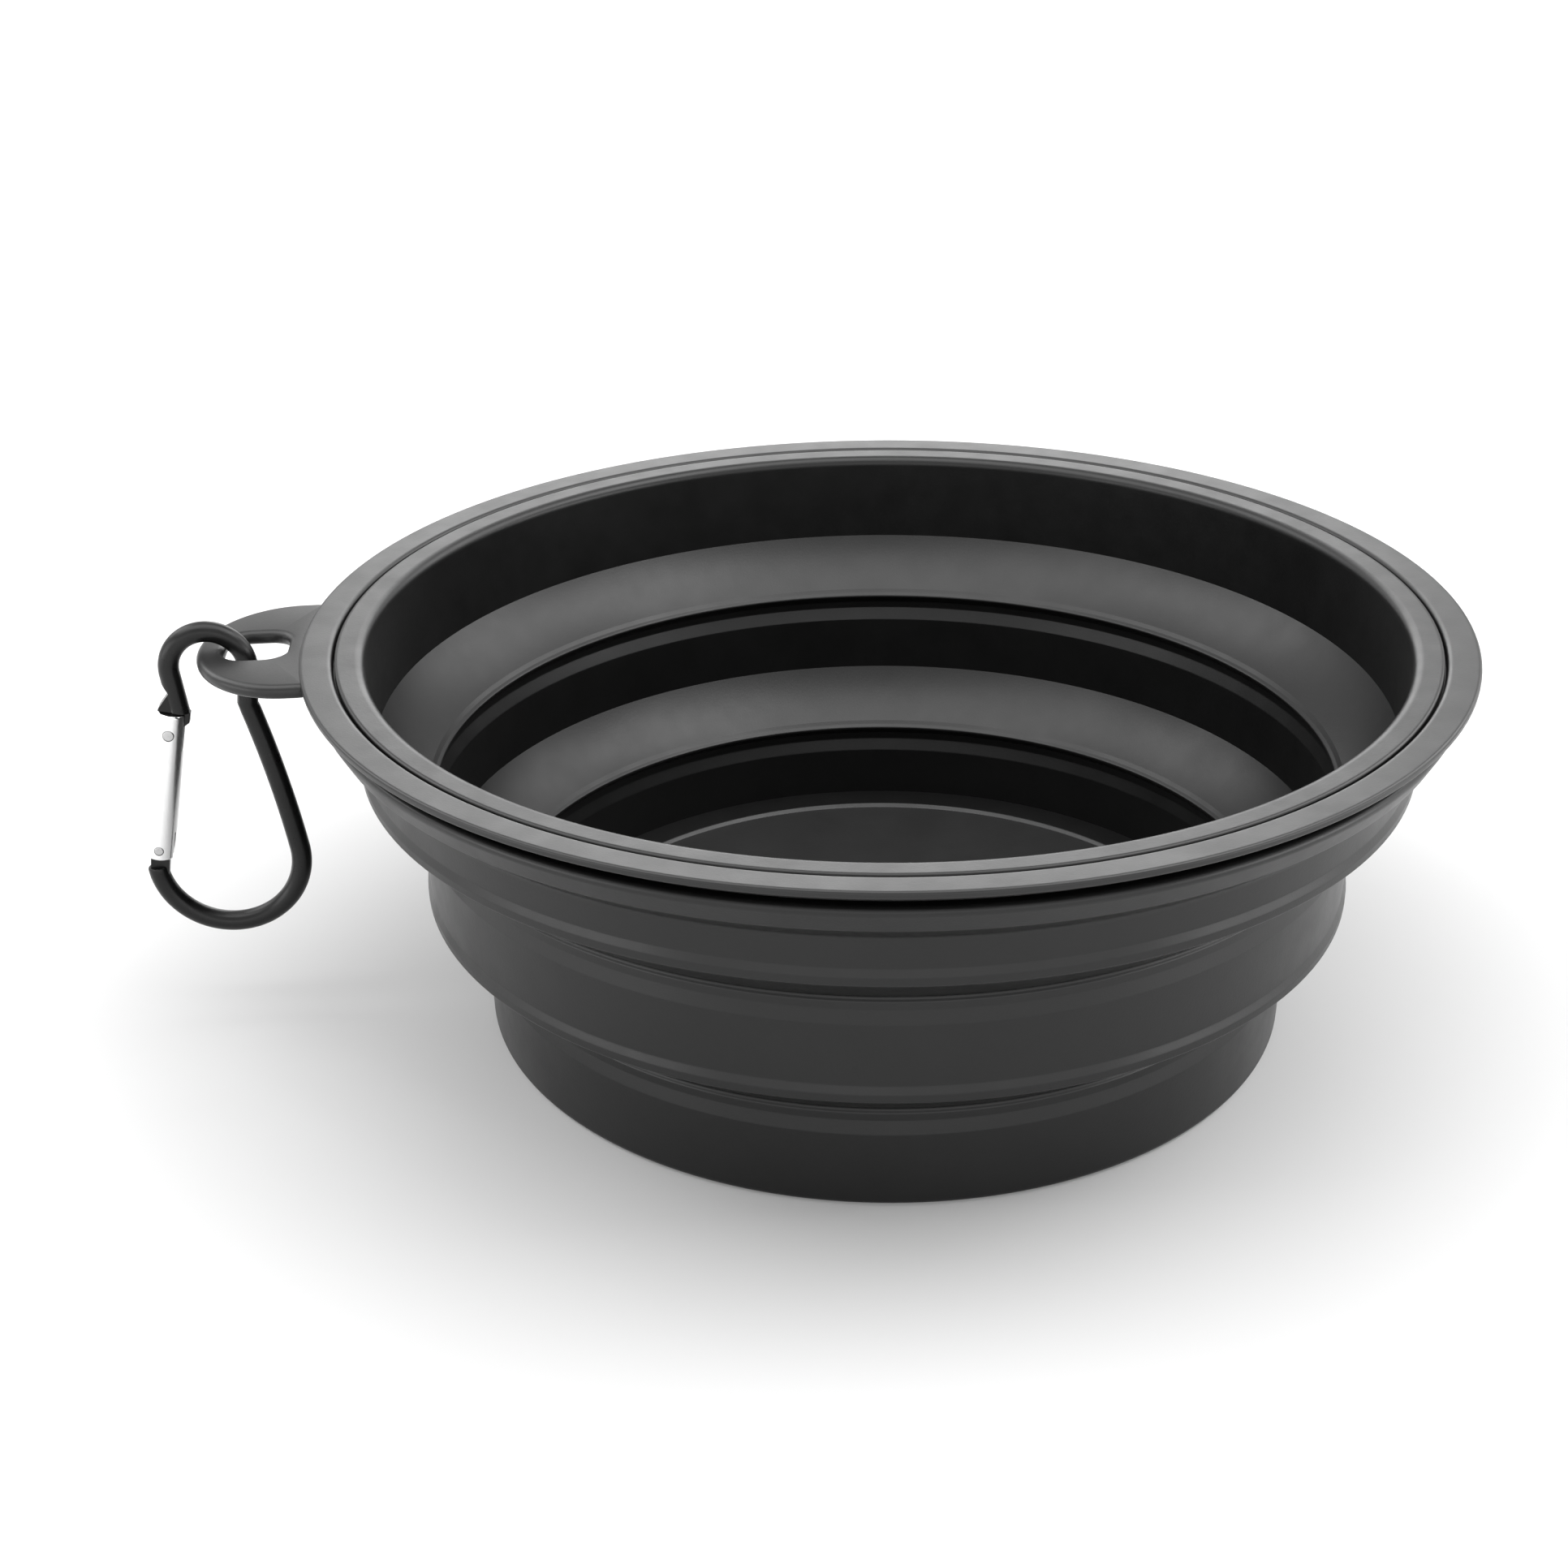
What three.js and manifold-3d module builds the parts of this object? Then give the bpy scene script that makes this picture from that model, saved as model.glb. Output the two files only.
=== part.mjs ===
// Collapsible pet bowl with a hanging carabiner. Millimetres, +Z up, the origin at the middle of the flat base,
// the eyelet tab towards -X. The soft body has three stiff walls joined by two thin conical folds, and is
// clamped round the tongue of a hard rim ring.
import * as THREE from 'three';
import { mergeVertices } from 'three/addons/utils/BufferGeometryUtils.js';
import Module from 'manifold-3d';

// Fineness of the round forms
const BOWL_SEGMENTS = 48;
const WIRE_SIDES = 12;
const WIRE_STEPS = 60;
const ROD_SEGMENTS = 20;
const PIN_SEGMENTS = 12;
const ARC_STEPS = 3;
const TAB_CURVE_STEPS = 10;
const TAB_ROUND_STEPS = 2;

// Gap kept between pieces that touch
const CLEARANCE = 0.3;

// Bowl: radii
const RIM_RADIUS = 90;
const HARD_BAND = 5.05;
const SOFT_BAND = 4.7;
const WALL = 2;
const WALL_DRAFT = 0.3;
const FOLD_REACH = 8.2;

// Bowl: heights, from the base up
const BASE_WALL_HEIGHT = 17.2;
const MIDDLE_WALL_HEIGHT = 14.9;
const UPPER_WALL_HEIGHT = 16.2;
const FOLD_DROP = 8.5;
const FOLD_THICKNESS = 1.5;
const FLOOR_THICKNESS = 2.6;
const FLOOR_FILLET = 2;
const BASE_EDGE_ROUND = 1;
const TOE_ROUND = 0.8;

// Thinned neck under the lip of the two lower walls, where the body hinges
const NECK_RELIEF = 0.5;
const NECK_TOP = 1.6;
const NECK_STRAIGHT = 1;
const NECK_HEIGHT = 4.8;

// Rim: the hard ring, its tongue in the soft body, and the flare with its skirt under it
const RING_THICKNESS = 3.6;
const RING_EDGE_DROP = 0.7;
const RING_EDGE_ROUND = 1.4;
const TONGUE_REACH = 2.4;
const TONGUE_THICKNESS = 1.4;
const BAND_ROUND = 0.5;
const FLARE_REACH = 6.4;
const FLARE_HEIGHT = 7.2;
const SKIRT_HEIGHT = 4.2;
const SKIRT_DRAFT = 2.3;

// Eyelet tab on the ring, with the bar beyond its hole that the carabiner hangs on
const TAB_ROOT = 4;
const TAB_REACH = 15.9;
const TAB_HALF_WIDTH = 16.8;
const TAB_STRAIGHT = 1;
const TAB_THICKNESS = 2.3;
const TAB_ROUND = 1.1;
const TAB_SINK = 0.8;
const BAR_WIDTH = 4.3;
const EYELET_INSET = 2.1;
const EYELET_WIDTH = 10.4;
const EYELET_CORNER = 3.4;

// Carabiner frame: bent round wire, measured on its centre line
const WIRE_RADIUS = 1.6;
const HOOK_RADIUS = 6;
const HOOK_OFFSET = 0.85;
const LOOP_RADIUS = 11.4;
const LOOP_SHIFT = 0.7;
const HOOK_TO_LOOP = 33;
const NECK_LENGTH = 6;
const NECK_LEAN = 0.7;
const SPINE_BOW = THREE.MathUtils.degToRad(3.8);
const NOSE_TURN = THREE.MathUtils.degToRad(6.5);
const NOSE_LENGTH = 6.05;
const NOSE_SPARE = 1.4;
const NOSE_HEAD_THICKNESS = 2.6;
const NOSE_BARB = 2;
const NOSE_CHIN = 2.85;
const CHIN_CHAMFER = 0.8;
const NOTCH_HEIGHT = 3.1;
const NOTCH_INSET = 0.6;
const NOTCH_RISE = 2;
const HINGE_RISE = THREE.MathUtils.degToRad(15.6);
const HINGE_INSET = 0.6;
const BLADE_THICKNESS = 1.4;

// Carabiner gate: round bar, slotted at both ends and bored for its spring, its top outside the wire's end
const GATE_RADIUS = 2.3;
const GATE_OFFSET = 1.08;
const GATE_TAIL = 1.75;
const GATE_EDGE_ROUND = 0.4;
const HINGE_SLOT_HEIGHT = 3;
const HINGE_BLADE_HEIGHT = 2;
const HINGE_BLADE_HALF_WIDTH = 1.5;
const HINGE_PIN_RADIUS = 0.7;
const LATCH_SLOT_DEPTH = 6.2;
const LATCH_PIN_RADIUS = 0.85;
const LATCH_PIN_DEPTH = 3.6;
const LATCH_BACK = 0.75;
const LATCH_FOOT_HEIGHT = 1.2;
const LATCH_FOOT_REACH = 0.5;
const PLUNGER_RADIUS = 0.8;
const PLUNGER_LENGTH = 4;
const SPRING_WIRE_RADIUS = 0.17;
const SPRING_RADIUS = 0.72;
const SPRING_LENGTH = 8.4;
const SPRING_CURLS = 9;
const SPRING_CURL_STEPS = 8;
const SPRING_SIDES = 5;

const softMaterial = new THREE.MeshStandardMaterial({ color: 0x2b2b2c, roughness: 0.55, metalness: 0 });
const ringMaterial = new THREE.MeshStandardMaterial({ color: 0x343436, roughness: 0.45, metalness: 0 });
const frameMaterial = new THREE.MeshStandardMaterial({ color: 0x121213, roughness: 0.35, metalness: 0.6 });
const gateMaterial = new THREE.MeshStandardMaterial({ color: 0xd8d9db, roughness: 0.2, metalness: 1 });
const pinMaterial = new THREE.MeshStandardMaterial({ color: 0x9b9c9f, roughness: 0.3, metalness: 1 });

const wasm = await Module();
wasm.setup();

// Merges a geometry's shared points, drops its empty triangles and turns its faces outwards.
function closed(geometry) {
  geometry.deleteAttribute('normal');
  geometry.deleteAttribute('uv');
  const merged = mergeVertices(geometry, 1e-4);
  const position = merged.getAttribute('position');
  const corner = (i) => new THREE.Vector3().fromBufferAttribute(position, i);
  const triangles = [];
  let volume = 0;
  for (let i = 0; i < merged.index.count; i += 3) {
    const [a, b, c] = [0, 1, 2].map((k) => merged.index.getX(i + k));
    if (a === b || b === c || c === a) continue;
    triangles.push([a, b, c]);
    volume += corner(a).dot(corner(b).cross(corner(c)));
  }
  const outward = volume > 0 ? triangles : triangles.map(([a, b, c]) => [a, c, b]);
  merged.setIndex(outward.flat());
  return merged;
}

function toSolid(geometry) {
  const shape = closed(geometry);
  const vertProperties = new Float32Array(shape.getAttribute('position').array);
  const triVerts = new Uint32Array(shape.index.array);
  return new wasm.Manifold(new wasm.Mesh({ numProp: 3, vertProperties, triVerts }));
}

function toGeometry(solid) {
  const mesh = solid.getMesh();
  const geometry = new THREE.BufferGeometry();
  geometry.setAttribute('position', new THREE.BufferAttribute(new Float32Array(mesh.vertProperties), 3));
  geometry.setIndex(new THREE.BufferAttribute(new Uint32Array(mesh.triVerts), 1));
  return geometry;
}

function named(name, geometry, material) {
  geometry.computeVertexNormals();
  const mesh = new THREE.Mesh(geometry, material);
  mesh.name = name;
  return mesh;
}

// Turns a closed [radius, height] outline about Z.
function revolve(outline, segments) {
  const points = [...outline, outline[0]].map(([r, z]) => new THREE.Vector2(r, z));
  return new THREE.LatheGeometry(points, segments).rotateX(Math.PI / 2);
}

// Points of an arc in an outline, both ends included, angles in degrees.
function arc(r, z, radius, from, to) {
  return Array.from({ length: ARC_STEPS + 1 }, (_, i) => {
    const angle = THREE.MathUtils.degToRad(from + (to - from) * (i / ARC_STEPS));
    return [r + radius * Math.cos(angle), z + radius * Math.sin(angle)];
  });
}

// Cylinder along Z between two heights.
function bar(radius, low, high, segments) {
  return new THREE.CylinderGeometry(radius, radius, high - low, segments)
    .rotateX(Math.PI / 2)
    .translate(0, 0, (low + high) / 2);
}

// Plate of an [x, z] outline, centred on y = 0.
function blade(outline, thickness) {
  const shape = new THREE.Shape(outline.map(([x, z]) => new THREE.Vector2(x, z)));
  return new THREE.ExtrudeGeometry(shape, { depth: thickness, bevelEnabled: false })
    .rotateX(Math.PI / 2)
    .translate(0, thickness / 2, 0);
}

// Bowl tiers: each wall's inner radius and height, at its lip and at its foot
const seamRadius = RIM_RADIUS - HARD_BAND;
const baseLip = BASE_WALL_HEIGHT;
const middleFoot = baseLip + FOLD_DROP;
const middleLip = middleFoot + MIDDLE_WALL_HEIGHT;
const upperFoot = middleLip + FOLD_DROP;
const crown = upperFoot + UPPER_WALL_HEIGHT;
const upperRadius = seamRadius - SOFT_BAND;
const upperFootRadius = upperRadius - WALL_DRAFT;
const middleRadius = upperFootRadius - FOLD_REACH;
const middleFootRadius = middleRadius - WALL_DRAFT;
const baseRadius = middleFootRadius - FOLD_REACH;
const baseFootRadius = baseRadius - WALL_DRAFT;

// Directions in the section of a fold: down its slope, and through its thickness
const foldLength = Math.hypot(FOLD_REACH, FOLD_DROP);
const downFold = [-FOLD_REACH / foldLength, -FOLD_DROP / foldLength];
const throughFold = [FOLD_DROP / foldLength, -FOLD_REACH / foldLength];
const offset = ([r, z], [dr, dz], length) => [r + dr * length, z + dz * length];

// Thin cone from a wall's foot to the lip of the wall below.
function foldSection(foot, lip) {
  const top = offset(foot, downFold, CLEARANCE);
  const bottom = offset(lip, downFold, -CLEARANCE);
  return [top, bottom, offset(bottom, throughFold, FOLD_THICKNESS), offset(top, throughFold, FOLD_THICKNESS)];
}

// Foot of a wall, from its inner corner round to its outer face.
function toeSection([r, z]) {
  const outer = r + WALL - TOE_ROUND;
  return [
    [r, z],
    offset([r, z], throughFold, FOLD_THICKNESS),
    ...arc(outer, z, TOE_ROUND, -70, 0),
  ];
}

// Neck under a lip, on the wall's outer face, from its full thickness up to the fold.
function outerNeck([r, z]) {
  return [
    [r + WALL, z - NECK_HEIGHT],
    [r + WALL - NECK_RELIEF, z - NECK_HEIGHT + NECK_RELIEF],
    [r + WALL - NECK_RELIEF, z - NECK_TOP],
    offset([r, z], throughFold, FOLD_THICKNESS),
  ];
}

// The same neck on the inner face, from the lip down.
function innerNeck([r, z]) {
  return [
    [r, z],
    [r + NECK_RELIEF, z - NECK_TOP],
    [r + NECK_RELIEF, z - NECK_TOP - NECK_STRAIGHT],
    [r, z - NECK_HEIGHT],
  ];
}

// Rim heights: the ring's underside, the top of its tongue and the soft flare's top
const ringBottom = crown - RING_THICKNESS;
const tongueTop = ringBottom + TONGUE_THICKNESS;
const tongueRadius = seamRadius - TONGUE_REACH;
const flareTop = ringBottom - CLEARANCE;
const flareRadius = upperRadius + WALL + FLARE_REACH;

function upperWall() {
  const grooveRadius = tongueRadius - CLEARANCE;
  const bandRadius = seamRadius - CLEARANCE / 2;
  const outline = [
    ...toeSection([upperFootRadius, upperFoot]),
    [upperRadius + WALL, flareTop - FLARE_HEIGHT],
    [flareRadius - SKIRT_DRAFT, flareTop - SKIRT_HEIGHT],
    [flareRadius, flareTop],
    [grooveRadius, flareTop],
    [grooveRadius, tongueTop + CLEARANCE],
    [bandRadius, tongueTop + CLEARANCE],
    ...arc(bandRadius - BAND_ROUND, crown - BAND_ROUND, BAND_ROUND, 0, 90),
    ...arc(upperRadius + BAND_ROUND, crown - BAND_ROUND, BAND_ROUND, 90, 180),
  ];
  return named('upper_wall', closed(revolve(outline, BOWL_SEGMENTS)), softMaterial);
}

function middleWall() {
  const lip = [middleRadius, middleLip];
  const outline = [
    ...toeSection([middleFootRadius, middleFoot]),
    ...outerNeck(lip),
    ...innerNeck(lip),
  ];
  return named('middle_wall', closed(revolve(outline, BOWL_SEGMENTS)), softMaterial);
}

function baseCup() {
  const lip = [baseRadius, baseLip];
  const outer = baseFootRadius + WALL - BASE_EDGE_ROUND;
  const outline = [
    [0, 0],
    ...arc(outer, BASE_EDGE_ROUND, BASE_EDGE_ROUND, -90, 0),
    ...outerNeck(lip),
    ...innerNeck(lip),
    ...arc(baseFootRadius - FLOOR_FILLET, FLOOR_THICKNESS + FLOOR_FILLET, FLOOR_FILLET, 0, -90),
    [0, FLOOR_THICKNESS],
  ];
  return named('base_cup', closed(revolve(outline, BOWL_SEGMENTS)), softMaterial);
}

function fold(name, foot, lip) {
  return named(name, closed(revolve(foldSection(foot, lip), BOWL_SEGMENTS)), softMaterial);
}

// Hard ring with its tongue, and the eyelet tab that grows out of its edge.
const tabTop = crown - TAB_SINK;
const tabEnd = RIM_RADIUS + TAB_REACH;
const tabRound = Math.min(TAB_ROUND, 0.48 * TAB_THICKNESS);

function ringSolid() {
  const inner = seamRadius + CLEARANCE / 2;
  const edgeTop = crown - RING_EDGE_DROP;
  const outline = [
    [tongueRadius, ringBottom],
    ...arc(RIM_RADIUS - RING_EDGE_ROUND, ringBottom + RING_EDGE_ROUND, RING_EDGE_ROUND, -90, 0),
    ...arc(RIM_RADIUS - RING_EDGE_ROUND, edgeTop - RING_EDGE_ROUND, RING_EDGE_ROUND, 0, 70),
    [(RIM_RADIUS + inner) / 2, crown],
    ...arc(inner + BAND_ROUND, crown - BAND_ROUND, BAND_ROUND, 90, 180),
    [inner, tongueTop],
    [tongueRadius, tongueTop],
  ];
  return toSolid(revolve(outline, BOWL_SEGMENTS));
}

function eyeletPath() {
  const near = RIM_RADIUS + EYELET_INSET;
  const far = tabEnd - BAR_WIDTH;
  const half = EYELET_WIDTH / 2;
  const inset = EYELET_CORNER;
  const path = new THREE.Path();
  path.moveTo(-near, inset - half);
  path.lineTo(-near, half - inset);
  path.absarc(-near - inset, half - inset, inset, 0, Math.PI / 2, false);
  path.absarc(-far + inset, half - inset, inset, Math.PI / 2, Math.PI, false);
  path.absarc(-far + inset, inset - half, inset, Math.PI, 1.5 * Math.PI, false);
  path.absarc(-near - inset, inset - half, inset, 1.5 * Math.PI, 2 * Math.PI, false);
  return path;
}

function rimRing() {
  const root = RIM_RADIUS - TAB_ROOT;
  const side = RIM_RADIUS + TAB_STRAIGHT;
  const outline = new THREE.Shape();
  outline.moveTo(-root, TAB_HALF_WIDTH);
  outline.absellipse(-side, 0, tabEnd - side, TAB_HALF_WIDTH, Math.PI / 2, 1.5 * Math.PI, false);
  outline.lineTo(-root, -TAB_HALF_WIDTH);
  outline.closePath();
  outline.holes.push(eyeletPath());
  const tab = new THREE.ExtrudeGeometry(outline, {
    depth: TAB_THICKNESS - 2 * tabRound,
    curveSegments: TAB_CURVE_STEPS,
    bevelThickness: tabRound,
    bevelSize: tabRound,
    bevelOffset: -tabRound,
    bevelSegments: TAB_ROUND_STEPS,
  });
  tab.translate(0, 0, tabTop - TAB_THICKNESS + tabRound);
  return named('rim_ring', toGeometry(ringSolid().add(toSolid(tab))), ringMaterial);
}

// Carabiner, in its own XZ plane with the hook's centre as origin. The hook hangs on the tab's outer bar, and
// the wire runs from the nose over the hook, down the spine and round the loop to the gate's hinge. The hook's
// inside just clears the rounded inner edge of the bar.
const hookClear = HOOK_RADIUS - WIRE_RADIUS - CLEARANCE - tabRound;
const edgeReach = BAR_WIDTH / 2 + HOOK_OFFSET - tabRound;
const hookCentre = new THREE.Vector3(
  BAR_WIDTH / 2 - HOOK_OFFSET - tabEnd,
  0,
  tabTop - tabRound - Math.sqrt(hookClear ** 2 - edgeReach ** 2),
);
const loopCentre = new THREE.Vector2(-LOOP_SHIFT, -HOOK_TO_LOOP);
const around = (centre, radius, angle) => new THREE.Vector2(
  centre.x + radius * Math.cos(angle),
  centre.y + radius * Math.sin(angle),
);

const origin = new THREE.Vector2(0, 0);
const hookEnd = around(origin, HOOK_RADIUS, Math.PI + NOSE_TURN);
const noseWay = new THREE.Vector2(Math.sin(NOSE_TURN), -Math.cos(NOSE_TURN));
const nose = hookEnd.clone().addScaledVector(noseWay, NOSE_LENGTH);
const gateEnd = new THREE.Vector2(nose.x - GATE_OFFSET, nose.y);
const spineTop = new THREE.Vector2(HOOK_RADIUS - NECK_LEAN, -NECK_LENGTH);
const fromLoop = spineTop.clone().sub(loopCentre);
const spineAngle = fromLoop.angle() - Math.acos(LOOP_RADIUS / fromLoop.length()) - SPINE_BOW;
const spineEnd = around(loopCentre, LOOP_RADIUS, spineAngle);
const spineChord = spineTop.clone().sub(spineEnd);
const spineFace = new THREE.Vector2(Math.cos(spineAngle), Math.sin(spineAngle));
const spineRadius = -spineChord.lengthSq() / (2 * spineChord.dot(spineFace));
const spineCentre = spineEnd.clone().addScaledVector(spineFace, -spineRadius);
const hingeAngle = -Math.PI - HINGE_RISE;
const hinge = around(loopCentre, LOOP_RADIUS - HINGE_INSET, hingeAngle);
const tailSweep = Math.hypot(GATE_RADIUS, GATE_TAIL);
const shoulderAngle = hingeAngle + Math.asin((tailSweep + 3 * CLEARANCE) / LOOP_RADIUS);
const gateWay = gateEnd.clone().sub(hinge);
const gateLength = gateWay.length();
const gateTilt = Math.atan2(gateWay.x, gateWay.y);

class WirePath extends THREE.Curve {
  constructor() {
    super();
    const line = (from, to) => ({ length: from.distanceTo(to), at: (s) => from.clone().lerp(to, s) });
    const turn = (centre, radius, from, to) => ({
      length: radius * Math.abs(to - from),
      at: (s) => around(centre, radius, from + (to - from) * s),
    });
    const noseEnd = nose.clone().addScaledVector(noseWay, NOSE_SPARE);
    this.stretches = [
      line(noseEnd, hookEnd),
      turn(origin, HOOK_RADIUS, Math.PI + NOSE_TURN, 0),
      line(new THREE.Vector2(HOOK_RADIUS, 0), spineTop),
      turn(spineCentre, spineRadius, spineTop.clone().sub(spineCentre).angle(), spineAngle),
      turn(loopCentre, LOOP_RADIUS, spineAngle, shoulderAngle),
    ];
    this.total = this.stretches.reduce((sum, stretch) => sum + stretch.length, 0);
  }

  getPoint(t, target = new THREE.Vector3()) {
    let left = t * this.total;
    const last = this.stretches.at(-1);
    const stretch = this.stretches.find((one) => {
      if (left <= one.length || one === last) return true;
      left -= one.length;
      return false;
    });
    const point = stretch.at(left / stretch.length);
    return target.set(point.x, 0, point.y);
  }
}

// The gate's own frame: origin on the hinge pin, +Z along the bar towards the nose.
const gateFrame = new THREE.Matrix4()
  .makeRotationY(gateTilt)
  .setPosition(hinge.x, 0, hinge.y);
const latchHeight = gateLength - LATCH_PIN_DEPTH;
const latchJaw = LATCH_PIN_RADIUS + CLEARANCE;
const slotWidth = BLADE_THICKNESS + 2 * CLEARANCE;

// Point of the carabiner's plane in the gate's frame, as [x, z].
function inGate(point) {
  const local = new THREE.Vector3(point.x, 0, point.y).applyMatrix4(gateFrame.clone().invert());
  return [local.x, local.z];
}

// Flattened end of the wire that stands in the gate's lower slot.
function hingeBlade() {
  const half = HINGE_BLADE_HALF_WIDTH;
  const rootAngle = shoulderAngle + WIRE_RADIUS / LOOP_RADIUS;
  const outline = [
    [-half, HINGE_BLADE_HEIGHT],
    [-half, 0],
    inGate(around(loopCentre, LOOP_RADIUS + half, rootAngle)),
    inGate(around(loopCentre, LOOP_RADIUS - half, rootAngle)),
    [half, 0],
    [half, HINGE_BLADE_HEIGHT],
  ];
  return toSolid(blade(outline, BLADE_THICKNESS));
}

// Flattened nose in the gate's upper slot: its chin stands past the gate's inner side, and its hook backs the
// latch pin and reaches under it.
function noseBlade() {
  const outer = -latchJaw - LATCH_BACK;
  const jawTop = latchHeight + latchJaw;
  const footTop = latchHeight - latchJaw;
  const root = gateLength + WIRE_RADIUS / 2;
  const outline = [
    [0, root],
    [outer, gateLength + CLEARANCE / 2],
    [outer, footTop - LATCH_FOOT_HEIGHT],
    [LATCH_FOOT_REACH, footTop - LATCH_FOOT_HEIGHT],
    [LATCH_FOOT_REACH, footTop],
    [-latchJaw, footTop],
    [-latchJaw, jawTop],
    [NOSE_CHIN - CHIN_CHAMFER, jawTop],
    [NOSE_CHIN, jawTop + CHIN_CHAMFER],
    [NOSE_CHIN, root - CHIN_CHAMFER],
    [NOSE_CHIN - CHIN_CHAMFER, root],
  ];
  return toSolid(blade(outline, BLADE_THICKNESS));
}

// Barbed head above the gate, from the wire's end out towards the gate's outer side.
function noseHead() {
  const outline = [
    [-NOSE_BARB, gateLength],
    [GATE_OFFSET, gateLength],
    [GATE_OFFSET, gateLength + NOTCH_HEIGHT / 2],
    [-NOTCH_INSET, gateLength + NOTCH_HEIGHT],
    [-NOSE_BARB, gateLength + CLEARANCE],
  ];
  return toSolid(blade(outline, NOSE_HEAD_THICKNESS));
}

// Room cut out of the wire for the notch above the barb.
function notchRoom() {
  const far = -NOSE_BARB - 2 * WIRE_RADIUS;
  const outline = [
    [-NOSE_BARB, gateLength + CLEARANCE],
    [-NOTCH_INSET, gateLength + NOTCH_HEIGHT],
    [-NOTCH_INSET - NOTCH_RISE, gateLength + NOTCH_HEIGHT + NOTCH_RISE],
    [far, gateLength + NOTCH_HEIGHT + NOTCH_RISE],
    [far, gateLength + CLEARANCE],
  ];
  return toSolid(blade(outline, 4 * WIRE_RADIUS).applyMatrix4(gateFrame));
}

// Hole across the gate's bar, at a height on its axis.
function crossHole(radius, height) {
  const reach = 2 * GATE_RADIUS;
  return toSolid(bar(radius, -reach, reach, PIN_SEGMENTS).rotateX(Math.PI / 2).translate(0, 0, height));
}

function carabinerFrame() {
  const section = new THREE.Shape().absarc(0, 0, WIRE_RADIUS, 0, 2 * Math.PI, false);
  const wire = new THREE.ExtrudeGeometry(section, {
    steps: WIRE_STEPS,
    curveSegments: WIRE_SIDES / 2,
    extrudePath: new WirePath(),
    bevelEnabled: false,
  });
  const room = 4 * (WIRE_RADIUS + GATE_OFFSET);
  const gateRoom = new THREE.BoxGeometry(room, room, room).translate(0, 0, gateLength - room / 2);
  const bent = toSolid(wire).subtract(toSolid(gateRoom.applyMatrix4(gateFrame))).subtract(notchRoom());
  const ends = hingeBlade()
    .subtract(crossHole(HINGE_PIN_RADIUS + CLEARANCE / 2, 0))
    .add(noseHead())
    .add(noseBlade());
  const placedEnds = toSolid(toGeometry(ends).applyMatrix4(gateFrame));
  return named('carabiner_frame', toGeometry(bent.add(placedEnds)), frameMaterial);
}

const gateTop = gateLength - CLEARANCE;
const plungerBottom = HINGE_BLADE_HEIGHT + CLEARANCE;
const springBottom = plungerBottom + PLUNGER_LENGTH + CLEARANCE;
const boreTop = springBottom + SPRING_LENGTH + CLEARANCE;

function carabinerGate() {
  const edge = GATE_RADIUS - GATE_EDGE_ROUND;
  const outline = [
    [0, -GATE_TAIL],
    ...arc(edge, GATE_EDGE_ROUND - GATE_TAIL, GATE_EDGE_ROUND, -90, 0),
    [GATE_RADIUS, gateTop],
    [0, gateTop],
  ];
  const width = 3 * GATE_RADIUS;
  const slot = (low, high) => toSolid(
    new THREE.BoxGeometry(width, slotWidth, high - low).translate(0, 0, (low + high) / 2),
  );
  const cuts = [
    slot(-width, HINGE_SLOT_HEIGHT),
    slot(gateTop - LATCH_SLOT_DEPTH, gateTop + width),
    toSolid(bar(PLUNGER_RADIUS + CLEARANCE, 0, boreTop, ROD_SEGMENTS)),
    crossHole(HINGE_PIN_RADIUS + CLEARANCE / 2, 0),
    crossHole(LATCH_PIN_RADIUS + CLEARANCE / 2, latchHeight),
  ];
  const gate = cuts.reduce((solid, cut) => solid.subtract(cut), toSolid(revolve(outline, ROD_SEGMENTS)));
  return named('carabiner_gate', toGeometry(gate), gateMaterial);
}

// Pin across the gate's bar, flush with its sides.
function crossPin(name, radius, height) {
  const pin = bar(radius, -GATE_RADIUS, GATE_RADIUS, PIN_SEGMENTS).rotateX(Math.PI / 2);
  return named(name, closed(pin.translate(0, 0, height)), pinMaterial);
}

function plunger() {
  const rod = bar(PLUNGER_RADIUS, plungerBottom, plungerBottom + PLUNGER_LENGTH, PIN_SEGMENTS);
  return named('gate_plunger', closed(rod), pinMaterial);
}

// Coil spring: one unbroken tube round the bore's axis.
function springCentre(step) {
  const angle = (2 * Math.PI * step) / SPRING_CURL_STEPS;
  const rise = (SPRING_LENGTH - 2 * SPRING_WIRE_RADIUS) / (SPRING_CURLS * SPRING_CURL_STEPS);
  const height = springBottom + SPRING_WIRE_RADIUS + rise * step;
  return new THREE.Vector3(SPRING_RADIUS * Math.cos(angle), SPRING_RADIUS * Math.sin(angle), height);
}

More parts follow.
